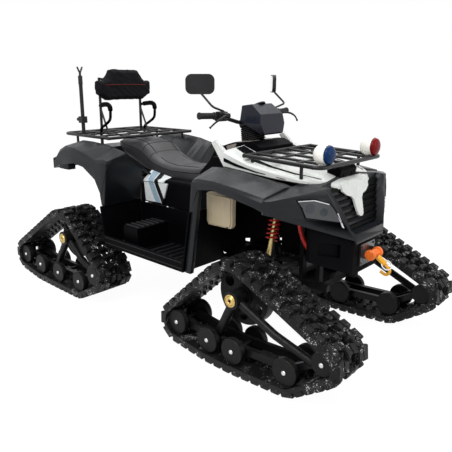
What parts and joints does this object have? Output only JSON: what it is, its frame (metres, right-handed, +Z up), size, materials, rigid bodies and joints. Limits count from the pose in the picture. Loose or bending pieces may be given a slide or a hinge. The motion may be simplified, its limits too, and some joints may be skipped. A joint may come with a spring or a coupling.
{
  "type": "tracked all terrain vehicle",
  "caption": "Quad bike with a rubber track unit at each corner, racks, backrest, mast, warning lamps and winch; handlebar steers the front units.",
  "frame": {"origin": "on the ground under the middle of the vehicle's length and width", "axes": "+X forward, +Y left, +Z up"},
  "size_m": [2.8699, 1.31, 1.545],
  "materials": {
    "belt_rubber": "matte, dusty",
    "track_steel": "satin black paint",
    "road_wheel": "black rubber rims on plastic discs",
    "sprocket": "black moulded plastic",
    "hub_cap": "yellow passivated",
    "chassis_steel": "satin black paint",
    "arm_steel": "satin black paint",
    "housing": "cast, dull",
    "shaft": "machined",
    "spring_red": "red powder coat",
    "damper_gold": "gold anodised",
    "engine": "cast, dull",
    "radiator": "bare",
    "hose_red": "red rubber",
    "black_plastic": "grained black plastic",
    "fender_grey": "grained dark grey plastic",
    "body_white": "gloss white plastic",
    "panel_light": "gloss white plastic with plain blue-grey stripes",
    "grille": "black plastic",
    "lamp_smoke": "smoked clear plastic",
    "seat_vinyl": "dark grey brown vinyl",
    "backrest_cloth": "black cloth",
    "beacon_white": "white plastic",
    "lens_blue": "blue lens",
    "lens_red": "red lens",
    "box_beige": "beige plastic",
    "tail_red": "red lens",
    "rack_steel": "black powder coat",
    "mast_black": "satin black",
    "mast_head": "black anodised",
    "bar_black": "satin black",
    "control_rubber": "black",
    "pod_black": "black plastic",
    "mirror_black": "black plastic",
    "winch_orange": "orange drum between steel cheeks",
    "hook_yellow": "yellow paint",
    "rod_steel": "plated"
  },
  "bodies": {
    "chassis": {"belt_rear_right": "belt_rubber", "belt_rear_left": "belt_rubber", "track_frames_rear": "track_steel", "track_wheels_rear": "road_wheel", "sprockets_rear": "sprocket", "hub_caps_rear": "hub_cap", "frame": "chassis_steel", "suspension_arms": "arm_steel", "gear_housings": "housing", "drive_shafts": "shaft", "shock_springs": "spring_red", "shock_dampers": "damper_gold", "engine_block": "engine", "radiator": "radiator", "hoses": "hose_red", "footwells": "black_plastic", "front_fenders": "fender_grey", "rear_fenders": "fender_grey", "console": "black_plastic", "side_panels": "panel_light", "hood": "body_white", "fascia": "fender_grey", "nose_panel": "body_white", "grille": "grille", "headlights": "lamp_smoke", "lower_bumper": "black_plastic", "winch": "winch_orange", "winch_hook": "hook_yellow", "seat": "seat_vinyl", "side_boxes": "box_beige", "tail_lights": "tail_red", "front_rack": "rack_steel", "rear_rack": "rack_steel", "backrest_frame": "rack_steel", "backrest_pad": "backrest_cloth", "mast": "mast_black", "beacon_housings": "beacon_white", "beacon_lens_blue": "lens_blue", "beacon_lens_red": "lens_red"},
    "steering": {"handlebar": "bar_black", "controls": "control_rubber", "pod": "pod_black", "mirrors": "mirror_black"},
    "track_front_right": {"belt_front_right": "belt_rubber", "track_frame_front_right": "track_steel", "track_wheels_front_right": "road_wheel", "sprocket_front_right": "sprocket", "hub_cap_front_right": "hub_cap", "knuckle_front_right": "arm_steel"},
    "track_front_left": {"belt_front_left": "belt_rubber", "track_frame_front_left": "track_steel", "track_wheels_front_left": "road_wheel", "sprocket_front_left": "sprocket", "hub_cap_front_left": "hub_cap", "knuckle_front_left": "arm_steel"},
    "tie_rod_right": {"tie_rod_right": "rod_steel"},
    "tie_rod_left": {"tie_rod_left": "rod_steel"},
    "mast_head": {"mast_fork": "mast_head"}
  },
  "joints": [
    {"name": "steering", "type": "hinge", "parent": "chassis", "child": "steering", "pos_m": [0.64, 0, 0.452], "axis": [-0.3275, 0, 0.9448], "range_deg": [-30, 30]},
    {"name": "track_steer_right", "type": "hinge", "parent": "chassis", "child": "track_front_right", "pos_m": [0.8, -0.4, 0.399], "axis": [0, 0, 1], "range_deg": [-24, 24]},
    {"name": "track_steer_left", "type": "hinge", "parent": "chassis", "child": "track_front_left", "pos_m": [0.8, 0.4, 0.399], "axis": [0, 0, 1], "range_deg": [-24, 24]},
    {"name": "tie_rod_swing_right", "type": "hinge", "parent": "track_front_right", "child": "tie_rod_right", "pos_m": [0.69, -0.372, 0.477], "axis": [0, 0, 1], "range_deg": [-24, 24]},
    {"name": "tie_rod_swing_left", "type": "hinge", "parent": "track_front_left", "child": "tie_rod_left", "pos_m": [0.69, 0.372, 0.477], "axis": [0, 0, 1], "range_deg": [-24, 24]},
    {"name": "mast_slide", "type": "slide", "parent": "chassis", "child": "mast_head", "axis": [0, 0, 1], "range_m": [0, 0.15]}
  ],
  "couplings": [
    {"joint": "track_steer_right", "follows": "steering", "ratio": 0.8},
    {"joint": "track_steer_left", "follows": "steering", "ratio": 0.8},
    {"joint": "tie_rod_swing_right", "follows": "steering", "ratio": -0.8},
    {"joint": "tie_rod_swing_left", "follows": "steering", "ratio": -0.8}
  ]
}
